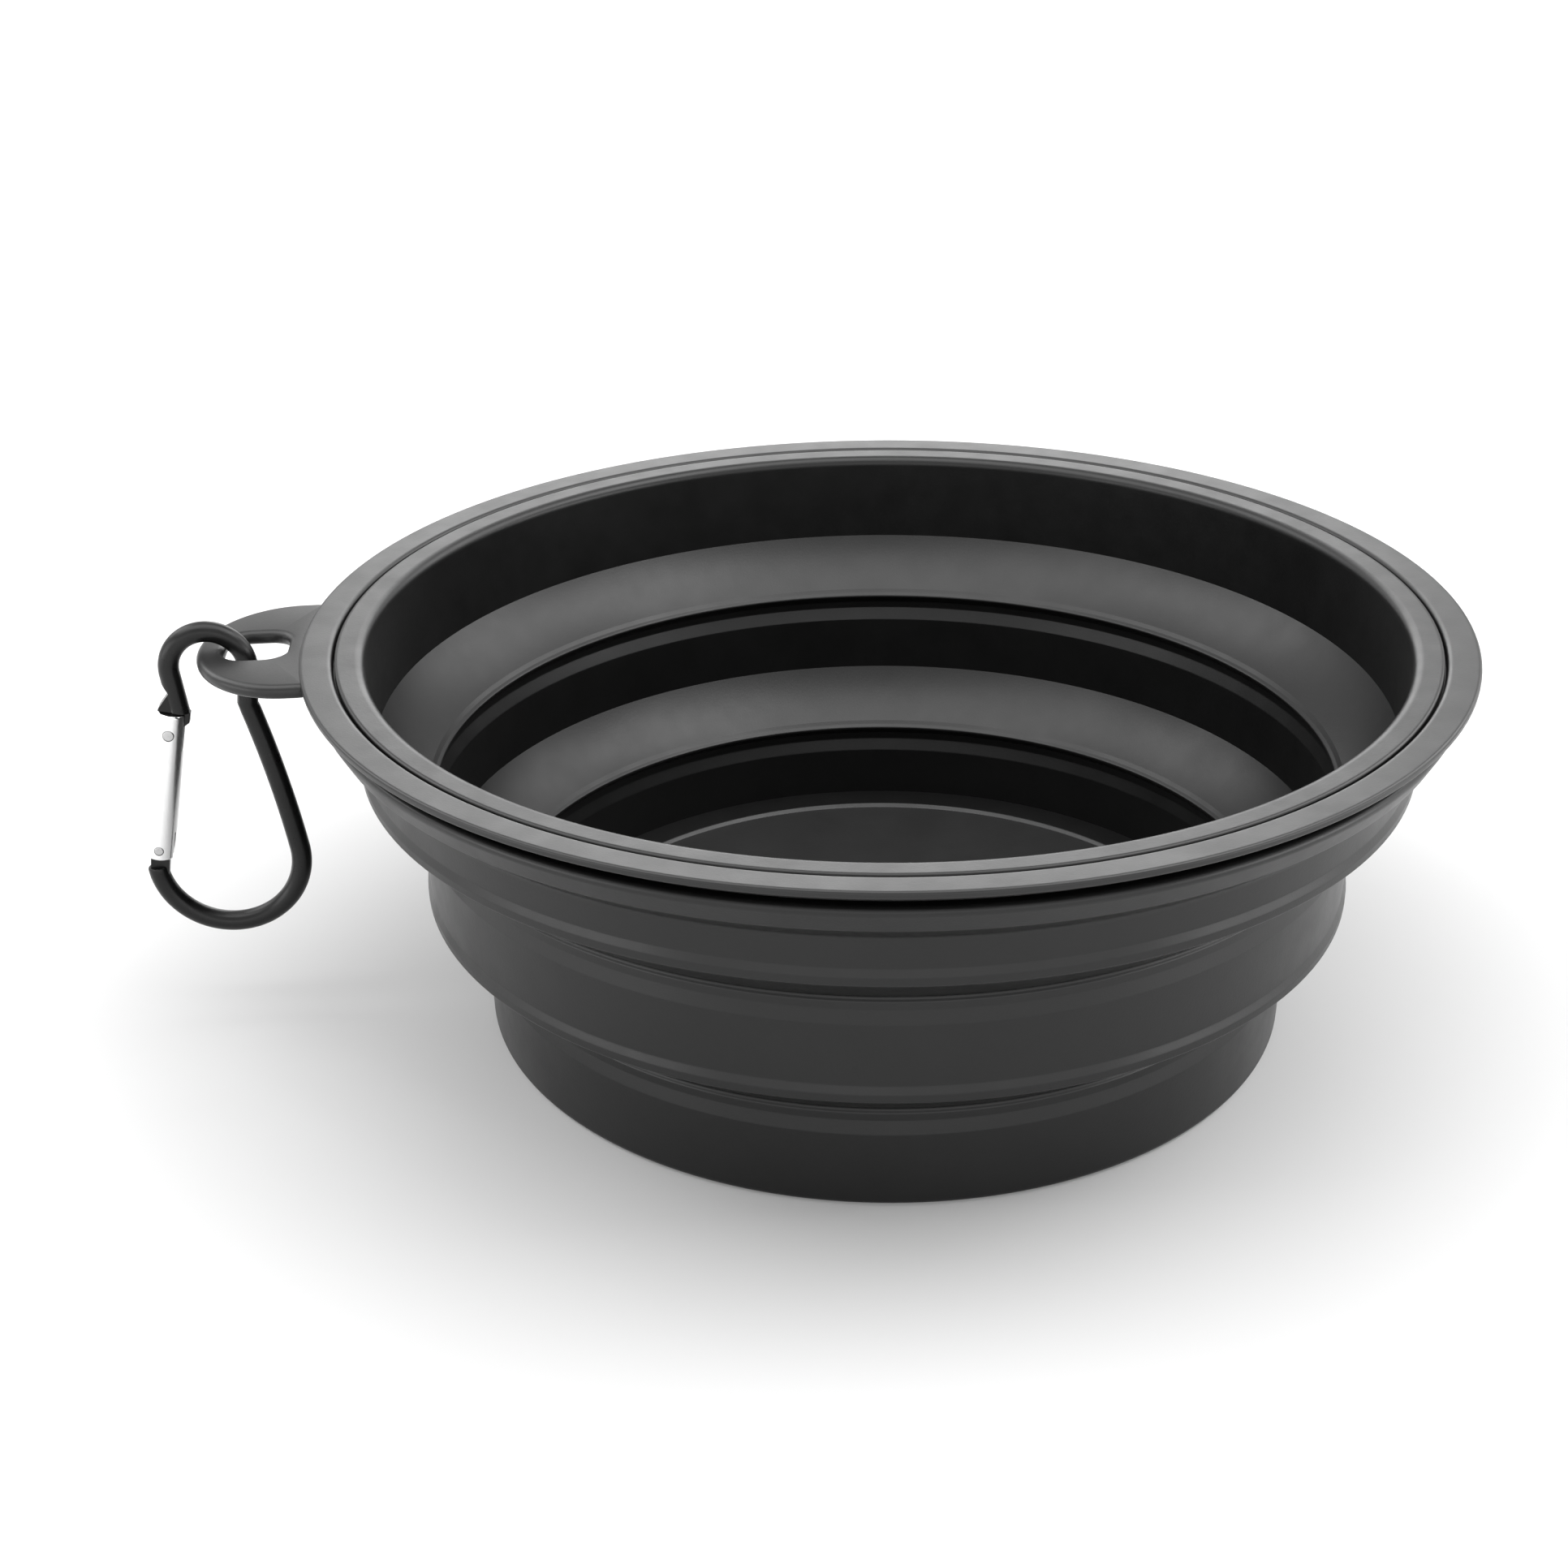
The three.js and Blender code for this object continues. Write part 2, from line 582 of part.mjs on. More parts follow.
function gateSpring() {
  const steps = SPRING_CURLS * SPRING_CURL_STEPS;
  const points = [];
  const centres = [];
  for (let step = 0; step <= steps; step += 1) {
    const centre = springCentre(step);
    const outward = new THREE.Vector3(centre.x, centre.y, 0).normalize();
    centres.push(centre);
    for (let side = 0; side < SPRING_SIDES; side += 1) {
      const angle = (2 * Math.PI * side) / SPRING_SIDES;
      const point = centre.clone().addScaledVector(outward, SPRING_WIRE_RADIUS * Math.cos(angle));
      point.z += SPRING_WIRE_RADIUS * Math.sin(angle);
      points.push(point);
    }
  }
  const index = [];
  for (let step = 0; step < steps; step += 1) {
    for (let side = 0; side < SPRING_SIDES; side += 1) {
      const [a, b] = [side, (side + 1) % SPRING_SIDES].map((k) => step * SPRING_SIDES + k);
      const [c, d] = [a + SPRING_SIDES, b + SPRING_SIDES];
      index.push(a, b, c, b, d, c);
    }
  }
  const lastRing = steps * SPRING_SIDES;
  for (let side = 1; side < SPRING_SIDES - 1; side += 1) {
    index.push(0, side + 1, side, lastRing, lastRing + side, lastRing + side + 1);
  }
  let leastGap = Infinity;
  centres.forEach((centre, i) => {
    for (let j = i + SPRING_CURL_STEPS / 2; j < centres.length; j += 1) {
      leastGap = Math.min(leastGap, centre.distanceTo(centres[j]) - 2 * SPRING_WIRE_RADIUS);
    }
  });
  console.log(`gate spring: least gap to itself ${leastGap.toFixed(2)} mm`);
  const geometry = new THREE.BufferGeometry().setFromPoints(points);
  geometry.setIndex(index);
  return named('gate_spring', closed(geometry), pinMaterial);
}

const upperFootCorner = [upperFootRadius, upperFoot];
const middleFootCorner = [middleFootRadius, middleFoot];
const bowl = new THREE.Group();
bowl.add(
  rimRing(),
  upperWall(),
  fold('upper_fold', upperFootCorner, [middleRadius, middleLip]),
  middleWall(),
  fold('lower_fold', middleFootCorner, [baseRadius, baseLip]),
  baseCup(),
);

const gate = new THREE.Group();
gate.position.set(hinge.x, 0, hinge.y);
gate.rotation.y = gateTilt;
gate.add(
  carabinerGate(),
  crossPin('gate_hinge_pin', HINGE_PIN_RADIUS, 0),
  crossPin('gate_latch_pin', LATCH_PIN_RADIUS, latchHeight),
  plunger(),
  gateSpring(),
);

const carabiner = new THREE.Group();
carabiner.position.copy(hookCentre);
carabiner.add(carabinerFrame(), gate);

const petBowl = new THREE.Group();
petBowl.add(bowl, carabiner);

export default petBowl;
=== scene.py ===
"""Looks of the collapsible pet bowl in a white studio.

The soft folding body, the rim ring with its eyelet tab, and the hanging carabiner are meshes made here,
each in the place of the CAD node it replaces.
"""

import math

import bmesh
import bpy
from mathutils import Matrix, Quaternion, Vector


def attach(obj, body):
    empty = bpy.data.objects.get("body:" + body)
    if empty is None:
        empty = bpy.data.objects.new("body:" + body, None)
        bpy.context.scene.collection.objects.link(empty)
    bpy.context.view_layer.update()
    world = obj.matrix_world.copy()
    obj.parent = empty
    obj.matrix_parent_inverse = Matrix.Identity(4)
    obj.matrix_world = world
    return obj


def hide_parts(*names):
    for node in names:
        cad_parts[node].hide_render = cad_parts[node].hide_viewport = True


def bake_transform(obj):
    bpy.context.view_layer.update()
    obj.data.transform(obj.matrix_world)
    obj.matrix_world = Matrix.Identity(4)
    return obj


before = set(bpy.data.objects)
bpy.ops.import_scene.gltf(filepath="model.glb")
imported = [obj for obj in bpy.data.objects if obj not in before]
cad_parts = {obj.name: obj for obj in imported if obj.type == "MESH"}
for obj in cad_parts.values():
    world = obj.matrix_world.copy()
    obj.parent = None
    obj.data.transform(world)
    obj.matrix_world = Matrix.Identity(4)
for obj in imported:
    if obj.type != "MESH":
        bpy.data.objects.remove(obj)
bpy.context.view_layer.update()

# Sizes are in millimetres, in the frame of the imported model.
MM = 0.001
CLEARANCE = 0.3

# Fineness of the round forms
TURN_STEPS = 192
FILLET_STEP = math.radians(12)
FILLET_SHARE = 0.48
FLAT_CORNER = 0.01
SUPPORT = 0.18
FOLD_ROWS = 26
TAB_STEPS = 180
TAB_EDGE_STEPS = 6
ELLIPSE_STEPS = 96
HOOK_STEPS = 56
SPINE_STEPS = 24
LOOP_STEPS = 72
WIRE_END_STEPS = 3
WIRE_SIDES = 32
ROD_SIDES = 56
PIN_SIDES = 32
SPRING_SIDES = 8
SPRING_CURL_STEPS = 20

# Angles above which an edge is sharp, and limits below which a difference counts as none
PIECE_SHARP = math.radians(38.0)
COMBINED_SHARP = math.radians(30.0)
WELD = 1e-7
PARALLEL = 1e-12
ON_EDGE = 1e-9

# Bowl: radii
RIM_RADIUS = 90.0
HARD_BAND = 5.05
SOFT_BAND = 4.7
WALL = 2.0
WALL_DRAFT = 0.3
FOLD_REACH = 8.2

# Bowl: heights, from the base up
BASE_WALL_HEIGHT = 17.2
MIDDLE_WALL_HEIGHT = 14.9
UPPER_WALL_HEIGHT = 16.2
FOLD_DROP = 8.5
FOLD_THICKNESS = 1.5
FOLD_SAG = 0.5

# Bowl: floor, edge of the base, beads at the feet of the walls, and lips
FLOOR_THICKNESS = 2.6
FLOOR_STEP = 0.6
FLOOR_STEP_INSET = 5.2
FLOOR_STEP_ROUND = 0.5
BASE_EDGE_ROUND = 1.0
BEAD_REACH = 0.45
BEAD_DROP = 2.4
BEAD_HEIGHT = 1.4
BEAD_SLOPE = 1.2
BEAD_WIDTH = 1.4
BEAD_ROUND = 0.4
LIP_STUB = 0.8
LIP_REACH = 0.8
LIP_DROP = 0.5
LIP_ROUND = 0.45

# Thinned neck under the lip of the two lower walls
NECK_RELIEF = 0.5
NECK_HOLLOW = 0.9
NECK_TOP = 1.6
NECK_STRAIGHT = 1.2
NECK_HEIGHT = 4.9
NECK_ROUND = 0.4

# Rim: the hard ring, its tongue in the soft body, and the flare with its skirt under it
RING_THICKNESS = 3.6
RING_EDGE_DROP = 0.5
RING_EDGE_ROUND = 0.45
RING_EDGE_THICKNESS = 1.0
RIM_DISH = 0.6
UNDERCUT_INSET = 3.4
TONGUE_REACH = 2.4
TONGUE_THICKNESS = 1.4
SEAM_ROUND = 1.0
INNER_EDGE_ROUND = 1.5
FLARE_REACH = 6.4
FLARE_HEIGHT = 7.2
FLARE_ROUND = 1.6
SKIRT_HEIGHT = 4.2
SKIRT_DRAFT = 2.3
SKIRT_ROUND = 0.9
SMALL_ROUND = 0.2

# Eyelet tab on the ring
TAB_ROOT = 3.0
TAB_ROOT_ROUND = 2.0
TAB_REACH = 15.9
TAB_HALF_WIDTH = 16.8
TAB_STRAIGHT = 1.0
TAB_THICKNESS = 2.3
TAB_ROUND = 1.1
TAB_SINK = 0.8
BAR_WIDTH = 4.3
EYELET_INSET = 2.1
EYELET_WIDTH = 10.4
EYELET_CORNER = 3.4

# Carabiner frame: bent round wire, measured on its centre line
WIRE_RADIUS = 1.6
WIRE_END_ROUND = 0.3
HOOK_RADIUS = 6.0
HOOK_OFFSET = 0.85
LOOP_RADIUS = 11.4
LOOP_SHIFT = 0.7
HOOK_TO_LOOP = 33.0
NECK_LENGTH = 6.0
NECK_LEAN = 0.7
SPINE_BOW = math.radians(3.8)
NOSE_TURN = math.radians(6.5)
NOSE_LENGTH = 6.05
NOSE_SPARE = 1.4
NOSE_HEAD_THICKNESS = 2.6
NOSE_BARB = 2.0
NOSE_CHIN = 2.85
CHIN_CHAMFER = 0.8
NOTCH_HEIGHT = 3.1
NOTCH_INSET = 0.6
NOTCH_RISE = 2.0
HINGE_RISE = math.radians(15.6)
HINGE_INSET = 0.6
BLADE_THICKNESS = 1.4
BLADE_CHAMFER = 0.12

# Carabiner gate: round bar, slotted at both ends and bored for its spring
GATE_RADIUS = 2.3
GATE_OFFSET = 1.08
GATE_TAIL = 1.75
GATE_EDGE_ROUND = 0.4
HINGE_SLOT_HEIGHT = 3.0
HINGE_BLADE_HEIGHT = 2.0
HINGE_BLADE_HALF_WIDTH = 1.5
HINGE_PIN_RADIUS = 0.7
LATCH_SLOT_DEPTH = 6.2
LATCH_PIN_RADIUS = 0.85
LATCH_PIN_DEPTH = 3.6
LATCH_BACK = 0.75
LATCH_FOOT_HEIGHT = 1.2
LATCH_FOOT_REACH = 0.5
PIN_EDGE_ROUND = 0.15
PIN_HOLE_GAP = 0.06
PLUNGER_RADIUS = 0.8
PLUNGER_LENGTH = 4.0
SPRING_WIRE_RADIUS = 0.17
SPRING_RADIUS = 0.72
SPRING_LENGTH = 8.4
SPRING_CURLS = 9

# Painted light on the bowl's floor, which is coloured paler where light from above falls: its radius, the
# share of it inside the soft edge, and the range of its grey
LIT_FLOOR_RADIUS = 57.4
LIT_FLOOR_INSIDE = 0.99
LIT_FLOOR_DARK = 0.020
LIT_FLOOR_LIGHT = 0.026

# Noises of the finishes: scale, detail and roughness
CLOUD_NOISE = (55.0, 4.0, 0.55)
RUBBED_NOISE = (160.0, 5.0, 0.6)
WAVE_NOISE = (90.0, 2.0, 0.5)
COAT_NOISE = (240.0, 4.0, 0.5)
COAT_GLOSS_NOISE = (700.0, 3.0, 0.5)
PEEL_NOISE = (1500.0, 2.0, 0.5)
STREAK_NOISE = (900.0, 5.0, 0.65)
GRAIN_DETAIL = (2.0, 0.6)

# Bumps of the finishes: strength, and height in metres
WAVE_BUMP = (0.05, 0.0006)
GRAIN_BUMP = (0.10, 0.00012)
PEEL_BUMP = (0.06, 0.0001)
STREAK_BUMP = (0.04, 0.00006)

# Part of a factor's range over which a grey goes from low to high
RAMP_START = 0.3
RAMP_END = 0.7

# Camera, fitted to the circles of the rim, the ledges and the base
CAMERA_AT = (-40.76, -331.93, 198.86)
CAMERA_WAY = (0.0665, 0.8961, -0.4388)
CAMERA_ROLL = math.radians(-0.973)
LENS = 52.8
SENSOR = 36.0
CLIP_START = 0.01

# Studio, in metres: the floor, and how bright it and the surround are to the eye and to the rest
FLOOR_REACH = 6.0
FLOOR_DROP = 0.0002
FLOOR_GREY = 0.6
FLOOR_ROUGHNESS = 0.9
# The floor glows less near the bowl than around it: a painted shadow round the base, also seen in the
# walls' reflection of the floor.
PAINTED_SHADOW_GLOW = 0.12
GLOW_AROUND = 0.42
GLOW_FAR = 1.0
PAINTED_SHADOW_START = 0.06
PAINTED_SHADOW_END = 0.22
FAR_START = 0.5
FAR_END = 1.3
SURROUND_WHITE = 1.0
SURROUND_FILL = 0.3
WHITE = (1.0, 1.0, 1.0, 1.0)

# Points, in metres, that most of the lamps face
AIM_HIGH = (0.0, 0.0, 0.05)
AIM_LOW = (0.0, 0.0, 0.03)


def unit(a, b):
    length = math.hypot(b[0] - a[0], b[1] - a[1])
    return ((b[0] - a[0]) / length, (b[1] - a[1]) / length)


def along(point, way, length):
    return (point[0] + way[0] * length, point[1] + way[1] * length)


def around(centre, radius, angle):
    return along(centre, (math.cos(angle), math.sin(angle)), radius)


def arc_points(centre, radius, start, end, steps):
    return [around(centre, radius, start + (end - start) * i / steps) for i in range(steps + 1)]


def fillet(before, corner, after, radius):
    """Points of the arc that rounds a corner, limited by the edges beside it."""
    back = unit(corner, before)
    on = unit(corner, after)
    half = math.acos(max(-1.0, min(1.0, back[0] * on[0] + back[1] * on[1]))) / 2
    if radius <= 0 or half > math.pi / 2 - FLAT_CORNER:
        return [corner]
    room = FILLET_SHARE * min(math.dist(before, corner), math.dist(corner, after))
    reach = min(radius / math.tan(half), room)
    radius = reach * math.tan(half)
    middle = unit((0, 0), (back[0] + on[0], back[1] + on[1]))
    centre = along(corner, middle, math.hypot(reach, radius))
    first = along(corner, back, reach)
    last = along(corner, on, reach)
    start = math.atan2(first[1] - centre[1], first[0] - centre[0])
    sweep = math.atan2(last[1] - centre[1], last[0] - centre[0]) - start
    sweep = (sweep + math.pi) % (2 * math.pi) - math.pi
    steps = max(2, math.ceil(abs(sweep) / FILLET_STEP))
    return arc_points(centre, radius, start, start + sweep, steps)


def rounded(corners):
    """Closed outline of (x, y, fillet) corners, with short supports at the ends of its straight runs."""
    count = len(corners)
    points = []
    for i, (x, y, radius) in enumerate(corners):
        before = corners[i - 1][:2]
        after = corners[(i + 1) % count][:2]
        points.extend(fillet(before, (x, y), after, radius))
    outline = []
    for a, b in zip(points, points[1:] + points[:1]):
        outline.append(a)
        if math.dist(a, b) > 4 * SUPPORT:
            way = unit(a, b)
            outline.append(along(a, way, SUPPORT))
            outline.append(along(b, way, -SUPPORT))
    return outline


def drawn_in(outline, distance):
    """An anticlockwise outline moved in by a distance, along the mitres of its corners."""
    points = []
    for before, here, after in zip(outline[-1:] + outline[:-1], outline, outline[1:] + outline[:1]):
        into = unit(before, here)
        out = unit(here, after)
        mitre = (-into[1] - out[1], into[0] + out[0])
        points.append(along(here, mitre, distance / (1 + into[0] * out[0] + into[1] * out[1])))
    return points


def loop_faces(count, size, close=False):
    """Quads between rings of points, each ring closed on itself."""
    faces = []
    for i in range(count if close else count - 1):
        here = i * size
        there = (i + 1) % count * size
        for j in range(size):
            k = (j + 1) % size
            faces.append((here + j, here + k, there + k, there + j))
    return faces


def tube(rings):
    """Body of rings of points, closed by a face at each end."""
    size = len(rings[0])
    last = (len(rings) - 1) * size
    faces = loop_faces(len(rings), size)
    faces.append(tuple(range(size)))
    faces.append(tuple(range(last, last + size)))
    return [point for ring in rings for point in ring], faces


def lathe(outline, steps=TURN_STEPS):
    """Body of a closed (radius, height) outline turned about Z."""
    verts = []
    for i in range(steps):
        angle = 2 * math.pi * i / steps
        verts.extend((r * math.cos(angle), r * math.sin(angle), z) for r, z in outline)
    return verts, loop_faces(steps, len(outline), close=True)


def smooth(mesh, sharp_angle):
    mesh.shade_smooth()
    mesh.set_sharp_from_angle(angle=sharp_angle)


def new_piece(name, body, material=None):
    verts, faces = body
    mesh = bpy.data.meshes.new(name)
    mesh.from_pydata([tuple(c * MM for c in v) for v in verts], [], faces)
    bm = bmesh.new()
    bm.from_mesh(mesh)
    bmesh.ops.remove_doubles(bm, verts=bm.verts, dist=WELD)
    bmesh.ops.dissolve_degenerate(bm, edges=bm.edges, dist=WELD)
    bmesh.ops.recalc_face_normals(bm, faces=bm.faces)
    bm.to_mesh(mesh)
    bm.free()
    smooth(mesh, PIECE_SHARP)
    if material:
        mesh.materials.append(material)
    piece = bpy.data.objects.new(name, mesh)
    bpy.context.scene.collection.objects.link(piece)
    return piece


def combine(piece, operation, bodies):
    """Joins bodies to a piece, or cuts them out of it."""
    tools = [new_piece("tool", body) for body in bodies]
    for tool in tools:
        modifier = piece.modifiers.new("combine", "BOOLEAN")
        modifier.operation = operation
        modifier.solver = "EXACT"
        modifier.object = tool
    bpy.context.view_layer.update()
    graph = bpy.context.evaluated_depsgraph_get()
    mesh = bpy.data.meshes.new_from_object(piece.evaluated_get(graph))
    piece.modifiers.clear()
    piece.data = mesh
    smooth(mesh, COMBINED_SHARP)
    for tool in tools:
        bpy.data.objects.remove(tool)


def stands_for(node):
    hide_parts(node)


def place(piece, body, node):
    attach(piece, body)
    stands_for(node)


# Materials


def node_material(name, roughness, metallic=0.0):
    material = bpy.data.materials.new(name)
    material.use_nodes = True
    tree = material.node_tree
    shader = tree.nodes["Principled BSDF"]
    shader.inputs["Roughness"].default_value = roughness
    shader.inputs["Metallic"].default_value = metallic
    spot = tree.nodes.new("ShaderNodeTexCoord")
    return material, tree, shader, spot.outputs["Object"]


def noise(tree, spot, scale, detail, rough):
    node = tree.nodes.new("ShaderNodeTexNoise")
    node.inputs["Scale"].default_value = scale
    node.inputs["Detail"].default_value = detail
    node.inputs["Roughness"].default_value = rough
    tree.links.new(spot, node.inputs["Vector"])
    return node.outputs["Fac"]


def ramp(tree, factor, low, high):
    """A grey between two values that follows a factor."""
    node = tree.nodes.new("ShaderNodeValToRGB")
    for stop, grey, at in zip(node.color_ramp.elements, (low, high), (RAMP_START, RAMP_END)):
        stop.color = (grey, grey, grey, 1.0)
        stop.position = at
    tree.links.new(factor, node.inputs["Fac"])
    return node.outputs["Color"]


def bump(tree, height, strength, distance, below=None):
    node = tree.nodes.new("ShaderNodeBump")
    node.inputs["Strength"].default_value = strength
    node.inputs["Distance"].default_value = distance
    tree.links.new(height, node.inputs["Height"])
    if below is not None:
        tree.links.new(below, node.inputs["Normal"])
    return node.outputs["Normal"]


def within(tree, spot, radius):
    """1 inside a radius about the bowl's axis and 0 outside it."""
    flat = tree.nodes.new("ShaderNodeMapping")
    flat.inputs["Scale"].default_value = (1.0, 1.0, 0.0)
    tree.links.new(spot, flat.inputs["Vector"])
    reach = tree.nodes.new("ShaderNodeVectorMath")
    reach.operation = "LENGTH"
    tree.links.new(flat.outputs["Vector"], reach.inputs[0])
    edge = tree.nodes.new("ShaderNodeMapRange")
    edge.inputs["From Min"].default_value = radius
    edge.inputs["From Max"].default_value = radius * LIT_FLOOR_INSIDE
    tree.links.new(reach.outputs["Value"], edge.inputs["Value"])
    return edge.outputs["Result"]


def moulded(name, dark, light, rough_low, rough_high, gloss, grain):
    """Satin moulding with faint clouds, uneven gloss and a fine grain; the bowl's floor is painted a
    paler grey, a painted light for the light that falls on it from above.
    """
    material, tree, shader, spot = node_material(name, rough_high)
    clouds = noise(tree, spot, *CLOUD_NOISE)
    # Painted light: a paler grey inside the floor's radius, where light from above falls on the bowl's
    # floor.
    painted_floor_light = tree.nodes.new("ShaderNodeMix")
    painted_floor_light.data_type = "RGBA"
    tree.links.new(within(tree, spot, LIT_FLOOR_RADIUS * MM), painted_floor_light.inputs["Factor"])
    tree.links.new(ramp(tree, clouds, dark, light), painted_floor_light.inputs["A"])
    tree.links.new(ramp(tree, clouds, LIT_FLOOR_DARK, LIT_FLOOR_LIGHT), painted_floor_light.inputs["B"])
    tree.links.new(painted_floor_light.outputs["Result"], shader.inputs["Base Color"])
    rubbed = noise(tree, spot, *RUBBED_NOISE)
    tree.links.new(ramp(tree, rubbed, rough_low, rough_high), shader.inputs["Roughness"])
    waves = bump(tree, noise(tree, spot, *WAVE_NOISE), *WAVE_BUMP)
    fine = bump(tree, noise(tree, spot, grain, *GRAIN_DETAIL), *GRAIN_BUMP, waves)
    tree.links.new(fine, shader.inputs["Normal"])
    shader.inputs["Specular IOR Level"].default_value = gloss
    return material


def lacquered(name, dark, light, rough_low, rough_high, gloss):
    """Satin coating on the wire, with a slight orange peel."""
    material, tree, shader, spot = node_material(name, rough_high)
    coat = ramp(tree, noise(tree, spot, *COAT_NOISE), dark, light)
    tree.links.new(coat, shader.inputs["Base Color"])
    sheen = ramp(tree, noise(tree, spot, *COAT_GLOSS_NOISE), rough_low, rough_high)
    tree.links.new(sheen, shader.inputs["Roughness"])
    peel = bump(tree, noise(tree, spot, *PEEL_NOISE), *PEEL_BUMP)
    tree.links.new(peel, shader.inputs["Normal"])
    shader.inputs["Specular IOR Level"].default_value = gloss
    return material


def bright_metal(name, dark, light, rough_low, rough_high, way):
    """Polished or drawn metal, with fine streaks along one direction."""
    material, tree, shader, spot = node_material(name, rough_high, metallic=1.0)
    stretch = tree.nodes.new("ShaderNodeMapping")
    stretch.inputs["Scale"].default_value = way
    tree.links.new(spot, stretch.inputs["Vector"])
    streaks = noise(tree, stretch.outputs["Vector"], *STREAK_NOISE)
    tree.links.new(ramp(tree, streaks, dark, light), shader.inputs["Base Color"])
    tree.links.new(ramp(tree, streaks, rough_low, rough_high), shader.inputs["Roughness"])
    tree.links.new(bump(tree, streaks, *STREAK_BUMP), shader.inputs["Normal"])
    return material


rubber = moulded(
    "body_rubber", dark=0.004, light=0.006, rough_low=0.32, rough_high=0.39, gloss=0.38, grain=2600.0
)
plastic = moulded(
    "rim_plastic", dark=0.010, light=0.014, rough_low=0.32, rough_high=0.39, gloss=0.40, grain=3400.0
)
black_metal = lacquered(
    "carabiner_black", dark=0.004, light=0.008, rough_low=0.26, rough_high=0.36, gloss=0.3
)
silver = bright_metal(
    "gate_silver", dark=0.82, light=0.9, rough_low=0.16, rough_high=0.26, way=(6.0, 6.0, 0.6)
)
steel = bright_metal(
    "pin_steel", dark=0.42, light=0.55, rough_low=0.25, rough_high=0.38, way=(1.0, 8.0, 1.0)
)


# Soft body

seam_radius = RIM_RADIUS - HARD_BAND
upper_radius = seam_radius - SOFT_BAND
base_lip_height = BASE_WALL_HEIGHT
middle_foot_height = base_lip_height + FOLD_DROP
middle_lip_height = middle_foot_height + MIDDLE_WALL_HEIGHT
upper_foot_height = middle_lip_height + FOLD_DROP
crown = upper_foot_height + UPPER_WALL_HEIGHT
upper_foot = (upper_radius - WALL_DRAFT, upper_foot_height)
middle_lip = (upper_foot[0] - FOLD_REACH, middle_lip_height)
middle_foot = (middle_lip[0] - WALL_DRAFT, middle_foot_height)
base_lip = (middle_foot[0] - FOLD_REACH, base_lip_height)
base_foot_radius = base_lip[0] - WALL_DRAFT

ring_bottom = crown - RING_THICKNESS
tongue_top = ring_bottom + TONGUE_THICKNESS
tongue_radius = seam_radius - TONGUE_REACH
groove_radius = tongue_radius - CLEARANCE
groove_top = tongue_top + CLEARANCE
flare_top = ring_bottom - CLEARANCE
flare_radius = upper_radius + WALL + FLARE_REACH
edge_top = crown - RING_EDGE_DROP


def rim_top(radius):
    """Height of the rim's top, which is dished towards the bowl."""
    return edge_top - RIM_DISH * (RIM_RADIUS - radius) / (RIM_RADIUS - upper_radius)


down_fold = unit(upper_foot, middle_lip)
through_fold = (-down_fold[1], down_fold[0])


def through(point):
    """The point opposite, on a fold's outer face."""
    return along(point, through_fold, FOLD_THICKNESS)


def stub(lip):
    """Where a wall's moulded lip ends and its fold begins."""
    return along(lip, down_fold, -LIP_STUB)


def toe(foot):
    """Corners of a wall's foot: inner corner, root of the fold, and the bead round the outside."""
    outer = foot[0] + WALL
    bead = outer + BEAD_REACH
    low = foot[1] - BEAD_DROP
    high = low + BEAD_HEIGHT
    return [
        (*foot, 0),
        (*through(foot), SMALL_ROUND),
        (bead - BEAD_WIDTH, low, SMALL_ROUND),
        (bead, low, BEAD_ROUND),
        (bead, high, BEAD_ROUND),
        (outer, high + BEAD_SLOPE, BEAD_ROUND),
    ]


def lip_section(lip):
    """Corners round a wall's top: outer neck, end of the fold, the lip's nose and the inner neck."""
    r, z = lip
    outer = r + WALL
    low = z - LIP_DROP
    return [
        (outer, z - NECK_HEIGHT, NECK_ROUND),
        (outer - NECK_RELIEF, z - NECK_TOP - NECK_STRAIGHT, SMALL_ROUND),
        (outer - NECK_RELIEF, z - NECK_TOP, NECK_ROUND),
        (*through(lip), NECK_ROUND),
        (*through(stub(lip)), 0),
        (*stub(lip), 0),
        (r, z, LIP_ROUND),
        (r - LIP_REACH, low, LIP_ROUND),
        (r + NECK_HOLLOW, low - NECK_TOP, NECK_ROUND),
        (r + NECK_HOLLOW, low - NECK_TOP - NECK_STRAIGHT, NECK_ROUND),
        (r, low - NECK_HEIGHT, NECK_ROUND),
    ]


def upper_section():
    """Corners of the upper wall: toe, flare and skirt, groove for the ring's tongue, and soft band."""
    band_radius = seam_radius - CLEARANCE / 2
    return toe(upper_foot) + [
        (upper_radius + WALL, flare_top - FLARE_HEIGHT, FLARE_ROUND),
        (flare_radius - SKIRT_DRAFT, flare_top - SKIRT_HEIGHT, SKIRT_ROUND),
        (flare_radius, flare_top, SKIRT_ROUND),
        (groove_radius, flare_top, SMALL_ROUND),
        (groove_radius, groove_top, SMALL_ROUND),
        (band_radius, groove_top, SMALL_ROUND),
        (band_radius, rim_top(band_radius), SEAM_ROUND),
        (upper_radius, rim_top(upper_radius), INNER_EDGE_ROUND),
    ]


def base_section():
    """Corners of the base cup, from the middle of its underside round to the middle of its floor."""
    foot = [(0, 0, 0), (base_foot_radius + WALL, 0, BASE_EDGE_ROUND)]
    ledge = FLOOR_THICKNESS + FLOOR_STEP
    step = base_foot_radius - FLOOR_STEP_INSET
    inside = [
        (base_foot_radius, ledge, 0),
        (step, ledge, FLOOR_STEP_ROUND),
        (step - FLOOR_STEP, FLOOR_THICKNESS, FLOOR_STEP_ROUND),
        (0, FLOOR_THICKNESS, 0),
    ]
    return foot + lip_section(base_lip) + inside


def wall_piece(name, section, body, node):
    place(new_piece(name, lathe(rounded(section)), rubber), body, node)


